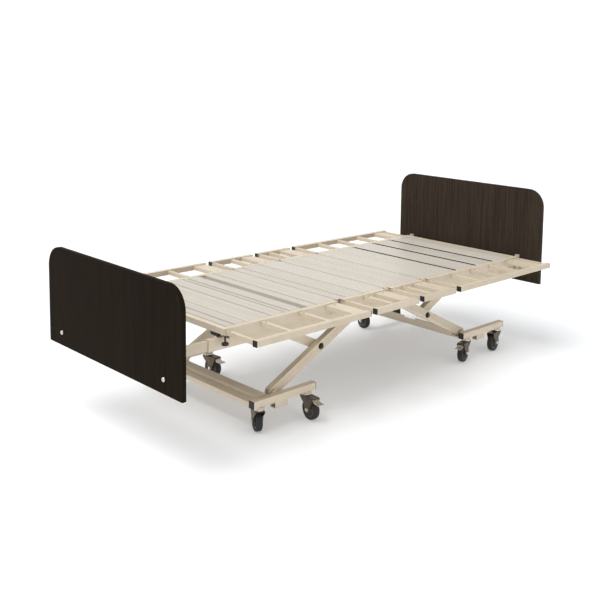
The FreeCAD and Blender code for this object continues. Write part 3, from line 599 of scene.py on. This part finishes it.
def leg_pins(end):
    """Bolt, washer and nuts where legs and links cross, and a glide with its pin on each leg top."""
    middle = Vector(joints[end + "_leg_pivot"]["pos_m"])
    bottom = Vector(joints[end + "_base_pivot"]["pos_m"])
    top = bottom + 2.0 * (middle - bottom)
    bolts, glides = Shape(), Shape()
    disc = [(9.0, 0.0), (19.0, 0.0), (20.4, 1.6), (20.4, 15.9), (19.0, 17.4), (9.0, 17.4)]
    for side in (-1, 1):
        bolts.turned((middle.x, side * 0.264, middle.z), (0, side, 0),
                     in_metres([(7.9, 0.0), (7.9, 72.0)]), 24)
        bolts.turned((middle.x, side * 0.3352, middle.z), (0, side, 0),
                     in_metres([(15.0, 0.0), (15.0, 1.4), (14.0, 1.8)]), 32)
        bolts.hexagon((middle.x, side * 0.3370, middle.z), (0, side, 0), 19.0 * MM, 6.5 * MM)
        bolts.hexagon((middle.x, side * 0.2690, middle.z), (0, -side, 0), 19.0 * MM, 7.0 * MM)
        glides.turned((top.x, side * 0.339, top.z), (0, side, 0), in_metres(disc), 40)
        glides.turned((top.x, side * 0.303, top.z), (0, side, 0), in_metres([(7.9, 0.0), (7.9, 54.0)]), 24)
    made = piece(end + "_pivot_bolts", bolts, ("black_steel",), end + "_legs", "plated_steel", 0.0003)
    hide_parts(end + "_leg_pins")
    piece(end + "_leg_glides", glides, ("nylon",), end + "_legs", "plated_steel", 0.0003)


leg_pins("foot")
leg_pins("head")


# Weld beads where tubes meet the rails they stand on, and the spring buttons of the extensions

BUTTON = ((4.2, 0.0), (4.2, 0.5), (3.4, 0.6))
BUTTON_OUT = 47.0 * MM
RAIL_FACE_Y = 0.38


def weld_ring(shape, low, high, y, out):
    """A bead round a cross tube where its end meets a rail's face."""
    radius = 1.5 * MM
    y = y + out * radius * 0.4
    shape.bead([(low.x, y, low.z), (high.x, y, low.z), (high.x, y, high.z), (low.x, y, high.z)], radius)


def cross_tubes(node, shortest):
    """Solids of a node that run across the bed."""
    return [(low, high) for low, high, _ in islands(node) if high.y - low.y > shortest]


for section in SECTIONS:
    body = SECTION_BODY[section]
    frame_node = "main_frame" if section == "seat" else section + "_frame"
    shape = Shape()
    for low, high in cross_tubes(frame_node, 0.6):
        if high.y < RAIL_FACE_Y:
            weld_ring(shape, low, high, low.y, 1)
            weld_ring(shape, low, high, high.y, -1)
    piece(section + "_frame_welds", shape, ("frame_paint",), body, "frame_paint", 0.0)
    for side in SIDES:
        node = section + "_extension_" + side
        shape, buttons = Shape(), Shape()
        out = -1 if side == "left" else 1
        for low, high in cross_tubes(node, 0.15):
            outer = low.y if side == "left" else high.y
            weld_ring(shape, low, high, outer, -out)
            centre = (low + high) / 2
            seen = out * (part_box(section + "_slats")[1].y + BUTTON_OUT)
            buttons.turned((centre.x, seen, high.z - 0.4 * MM), (0, 0, 1), in_metres(BUTTON), 20)
        piece(node + "_welds", shape, ("frame_paint",), node, "frame_paint", 0.0)
        piece(node + "_buttons", buttons, ("black_steel",), node, "plated_steel", 0.0)


# Slats: folded pans with pressed grooves

SLAT_SHEET = 1.5 * MM
FOLD_R = 3.0 * MM
GROOVE_PITCH = 40.0 * MM
GROOVE_HALF = 3.2 * MM
GROOVE_DEPTH = 1.1 * MM


def slat_line(x0, x1, z0, z1, inset):
    """Cross-section of a pan, moved inwards by inset, from one flange's foot to the other's."""
    radius = FOLD_R - inset
    line = [(x0 + inset, z0)]
    for step in range(5):
        angle = math.pi - math.pi / 2 * step / 4
        line.append((x0 + FOLD_R + radius * math.cos(angle), z1 - FOLD_R + radius * math.sin(angle)))
    count = int((x1 - x0) / GROOVE_PITCH)
    for groove in range(count):
        centre = x0 + (x1 - x0) * (groove + 1) / (count + 1)
        for offset, depth in ((-1.0, 0.0), (-0.45, 1.0), (0.45, 1.0), (1.0, 0.0)):
            line.append((centre + offset * GROOVE_HALF, z1 - inset - depth * GROOVE_DEPTH))
    for step in range(5):
        angle = math.pi / 2 - math.pi / 2 * step / 4
        line.append((x1 - FOLD_R + radius * math.cos(angle), z1 - FOLD_R + radius * math.sin(angle)))
    line.append((x1 - inset, z0))
    return line


for section in SECTIONS:
    shape = Shape()
    for low, high, _ in islands(section + "_slats"):
        outer = slat_line(low.x, high.x, low.z, high.z, 0.0)
        inner = slat_line(low.x, high.x, low.z, high.z, SLAT_SHEET)
        for outer_pair, inner_pair in zip(zip(outer, outer[1:]), zip(inner, inner[1:])):
            corners = (*outer_pair, *reversed(inner_pair))
            shape.skin([[(x, y, z) for x, z in corners] for y in (low.y, high.y)], capped=False)
        for y in (low.y, high.y):
            for k in range(len(outer) - 1):
                edge = (outer[k], outer[k + 1], inner[k + 1], inner[k])
                shape.add([(x, y, z) for x, z in edge], [(0, 1, 2, 3)])
    made = piece(section + "_pans", shape, ("slat_paint",), SECTION_BODY[section], "slat_paint", 0.0)
    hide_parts(section + "_slats")


# Dark strips at the wide gaps of the back section: painted shade, a black sheet where the gaps are shaded

WIDE_GAP = 15.0 * MM


def gap_shade_strips():
    """Black strips on the edges of the slats that face a wide gap, as painted shade for the gap."""
    slats = sorted((low.x, high.x, low.y, high.y, high.z) for low, high, _ in islands("back_slats"))
    shape = Shape()
    for before, after in zip(slats, slats[1:]):
        if after[0] - before[1] > WIDE_GAP:
            start, y0, y1, top = after[0], after[2] + 0.012, after[3] - 0.012, after[4]
            shape.box((start - 2.6 * MM, start - 0.1 * MM), (y0, y1), (top - 14.0 * MM, top - 1.2 * MM))
    piece("back_gap_shade_strips", shape, ("black_plastic",), SECTION_BODY["back"], "black_plastic", 0.0005)


gap_shade_strips()


# Rivets that hold each slat on its ledges

RIVET_HEAD = ((4.0, 0.0), (3.7, 0.7), (2.4, 1.3))

for section in SECTIONS:
    shape = Shape()
    for low, high, _ in islands(section + "_slats"):
        inset = min(0.018, (high.x - low.x) / 4)
        for x in (low.x + inset, high.x - inset):
            for y in (low.y + 0.011, high.y - 0.011):
                shape.turned((x, y, high.z - 0.2 * MM), (0, 0, 1), in_metres(RIVET_HEAD), 16)
    piece(section + "_slat_rivets", shape, ("slat_paint",), SECTION_BODY[section], "slat_paint", 0.0)


# Linear drives

def drive_shape(node):
    """Gear housing with its parting line and screws, motor, rear eye, outer tube and wiper nose."""
    low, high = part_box(node)
    y = (low.y + high.y) / 2
    z = high.z - 24.0 * MM
    rod_low, rod_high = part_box(node.replace("_drive", "_rod") if "lift" in node else node + "_rod")
    towards = 1 if (rod_low + rod_high).x > (low + high).x else -1
    rear = low.x + 12.0 * MM if towards > 0 else high.x - 12.0 * MM
    tube_end = (high.x if towards > 0 else low.x) - rear
    reach = abs(tube_end)
    shape = Shape()
    shape.place = Matrix.Translation((rear, y, z)) @ Matrix.Scale(towards, 4, (1, 0, 0))
    shape.box((20.0 * MM, 48.6 * MM), (-25.0 * MM, 25.0 * MM), (-24.0 * MM, 24.0 * MM))
    shape.box((48.6 * MM, 49.4 * MM), (-24.2 * MM, 24.2 * MM), (-23.2 * MM, 23.2 * MM))
    shape.box((49.4 * MM, 78.0 * MM), (-25.0 * MM, 25.0 * MM), (-24.0 * MM, 24.0 * MM))
    shape.box((36.0 * MM, 74.0 * MM), (-15.0 * MM, 15.0 * MM), (-34.0 * MM, -23.0 * MM))
    motor = [(16.0, 30.0), (20.0, 31.0), (20.0, 36.0), (21.0, 36.6)]
    for groove in range(5):
        start = 78.0 + groove * 8.0
        motor += [(21.0, start), (20.2, start + 0.8), (20.2, start + 2.2), (21.0, start + 3.0)]
    motor += [(21.0, 134.0), (20.2, 135.0), (20.2, 146.0), (18.5, 149.0), (8.0, 150.0)]
    shape.turned((0, 0, -44.0 * MM), (1, 0, 0), in_metres(motor), 36)
    shape.paint = 2
    for sy in (-1, 1):
        for sx, sz in ((26.0, 17.0), (72.0, 17.0), (26.0, -17.0), (72.0, -17.0)):
            shape.turned((sx * MM, sy * 24.9 * MM, sz * MM), (0, sy, 0),
                         in_metres([(3.4, 0.0), (3.2, 1.0), (2.0, 1.2)]), 16)
    shape.turned((0, -17.0 * MM, 0), (0, 1, 0), in_metres([(4.9, 0.0), (4.9, 34.0)]), 20)
    eye = [(0.0, 11.8), (20.5, 11.8), (20.5, -11.8), (0.0, -11.8)]
    for degrees in range(250, 109, -20):
        angle = math.radians(degrees)
        eye.append((11.8 * math.cos(angle), 11.8 * math.sin(angle)))
    shape.plate(in_metres(eye), (-6.0 * MM, 6.0 * MM))
    shape.paint = 1
    end = reach / MM
    tube = [(18.0, 76.0), (18.0, end - 16.0), (10.8, end - 16.0), (10.8, 76.0)]
    shape.turned(ORIGIN, (1, 0, 0), in_metres(tube), 36, looped=True)
    shape.paint = 0
    nose = [(10.7, end - 14.5), (20.0, end - 14.5), (21.0, end - 13.5), (21.0, end - 3.0),
            (19.5, end - 1.0), (14.0, end), (10.7, end)]
    shape.turned(ORIGIN, (1, 0, 0), in_metres(nose), 36, looped=True)
    made = piece(node + "_unit", shape, ("drive_housing", "drive_tube", "plated_steel"), "main_frame",
                 "drive_housing", 0.0012)
    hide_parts(node)


for node in ("foot_lift_drive", "head_lift_drive", "back_drive", "knee_drive"):
    drive_shape(node)


# Lock knob and the catch under the foot end

def lock_knob():
    low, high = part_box("lock_knob")
    centre = (low + high) / 2
    shape = Shape()
    rings = []
    for height, radius in ((0.0, 0.72), (0.6, 0.84), (2.0, 0.93), (9.6, 0.93), (11.2, 0.86), (12.0, 0.7)):
        ring = []
        for step in range(48):
            angle = 2 * math.pi * step / 48
            lobe = radius * 15.0 * MM * (1.0 + 0.07 * math.cos(7 * angle))
            ring.append((centre.x + lobe * math.cos(angle), centre.y + lobe * math.sin(angle),
                         low.z + height * MM))
        rings.append(ring)
    shape.skin(rings)
    shape.paint = 1
    shape.turned((centre.x, centre.y, low.z), (0, 0, 1),
                 [(3.9 * MM, 11.5 * MM), (3.9 * MM, high.z - low.z)], 20)
    shape.turned((centre.x, centre.y, low.z + 12.0 * MM), (0, 0, 1), in_metres([(8.0, 0.0), (8.0, 1.2)]), 24)
    made = piece("lock_hand_screw", shape, ("black_plastic", "black_steel"), "lock_knob",
                 "black_plastic", 0.0004)
    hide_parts("lock_knob")


lock_knob()


def rest_pads():
    """Rubber blocks under the foot end tube, which stand on the frame's rails."""
    low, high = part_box("foot_frame")
    top = high.z - 25.4 * MM
    x = low.x + 12.7 * MM
    shape = Shape()
    for side in (-1, 1):
        y = sorted((side * 0.306, side * 0.356))
        shape.box((x - 12.0 * MM, x + 12.0 * MM), (y[0], y[1]), (top - 6.0 * MM, top))
        shape.box((x - 10.0 * MM, x + 10.0 * MM), (y[0] + 2.0 * MM, y[1] - 2.0 * MM),
                  (top - 17.0 * MM, top - 5.9 * MM))
    piece("foot_rest_pads", shape, ("black_plastic",), "foot_section", "black_plastic", 0.0014)


rest_pads()


# Camera, floor and light

def add_camera():
    """Stands at the foot end, on the patient's left, and looks along the bed."""
    data = bpy.data.cameras.new("camera")
    data.lens = 54.23
    data.sensor_width = 36.0
    data.shift_x = -0.0615
    data.shift_y = -0.2212
    data.clip_start = 0.05
    data.clip_end = 300.0
    camera = bpy.data.objects.new("camera", data)
    bpy.context.scene.collection.objects.link(camera)
    yaw, pitch, roll = (math.radians(angle) for angle in (45.4, -6.9, 0.9))
    forward = Vector((math.cos(yaw) * math.cos(pitch), math.sin(yaw) * math.cos(pitch), math.sin(pitch)))
    right = Vector((math.sin(yaw), -math.cos(yaw), 0.0))
    up = right.cross(forward)
    side = right * math.cos(roll) + up * math.sin(roll)
    top = up * math.cos(roll) - right * math.sin(roll)
    turn = Matrix((side, top, -forward)).transposed()
    camera.matrix_world = Matrix.Translation((-3.0533, -3.1961, 1.5883)) @ turn.to_4x4()
    bpy.context.scene.camera = camera


def sun_light(name, towards, power, spread_angle):
    """A very large soft light, far away in the direction given."""
    data = bpy.data.lights.new(name, "SUN")
    data.energy = power
    data.angle = math.radians(spread_angle)
    light = bpy.data.objects.new(name, data)
    bpy.context.scene.collection.objects.link(light)
    light.rotation_mode = "QUATERNION"
    light.rotation_quaternion = Vector(towards).to_track_quat("Z", "Y")


def add_backdrop():
    """A bright even wall far round the floor, as a studio's white surround."""
    steps, radius, height = 64, 55.0, 14.0
    corners = []
    for step in range(steps):
        angle = 2 * math.pi * step / steps
        corners.append((radius * math.cos(angle), radius * math.sin(angle)))
    points = [(x, y, z) for z in (-0.5, height) for x, y in corners]
    faces = [(i, (i + 1) % steps, steps + (i + 1) % steps, steps + i) for i in range(steps)]
    mesh = bpy.data.meshes.new("backdrop")
    mesh.from_pydata(points, [], faces)
    material, tree, surface = shader("backdrop", 0.9)
    surface.inputs["Base Color"].default_value = (0.5, 0.5, 0.5, 1.0)
    surface.inputs["Emission Color"].default_value = (1.0, 1.0, 1.0, 1.0)
    surface.inputs["Emission Strength"].default_value = 1.0
    backdrop = bpy.data.objects.new("backdrop", mesh)
    backdrop.data.materials.append(material)
    bpy.context.scene.collection.objects.link(backdrop)


def add_studio():
    """A pale floor, an even white surround and two large soft lights."""
    material, tree, surface = shader("studio_floor", 0.75)
    tone = noise_value(tree, object_points(tree), 1.3, 3.0, 0.5)
    tree.links.new(ramp(tree, tone, ((0.3, (0.68, 0.69, 0.705)), (0.7, (0.70, 0.71, 0.725)))),
                   surface.inputs["Base Color"])
    surface.inputs["Emission Color"].default_value = (1.0, 1.0, 1.0, 1.0)
    surface.inputs["Emission Strength"].default_value = 0.25
    mesh = bpy.data.meshes.new("floor")
    reach = 60.0
    corners = [(-reach, -reach, 0), (reach, -reach, 0), (reach, reach, 0), (-reach, reach, 0)]
    mesh.from_pydata(corners, [], [(0, 1, 2, 3)])
    floor = bpy.data.objects.new("floor", mesh)
    floor.data.materials.append(material)
    bpy.context.scene.collection.objects.link(floor)
    add_backdrop()
    world = bpy.data.worlds.new("surround")
    world.use_nodes = True
    world.node_tree.nodes["Background"].inputs["Color"].default_value = (1.0, 1.0, 1.0, 1.0)
    world.node_tree.nodes["Background"].inputs["Strength"].default_value = 0.44
    bpy.context.scene.world = world
    sun_light("key", (-0.46, 0.17, 1.0), 2.22, 38.0)
    sun_light("top", (-0.1, -0.25, 1.0), 0.55, 70.0)
    bpy.context.scene.view_settings.view_transform = "Standard"


add_camera()
add_studio()
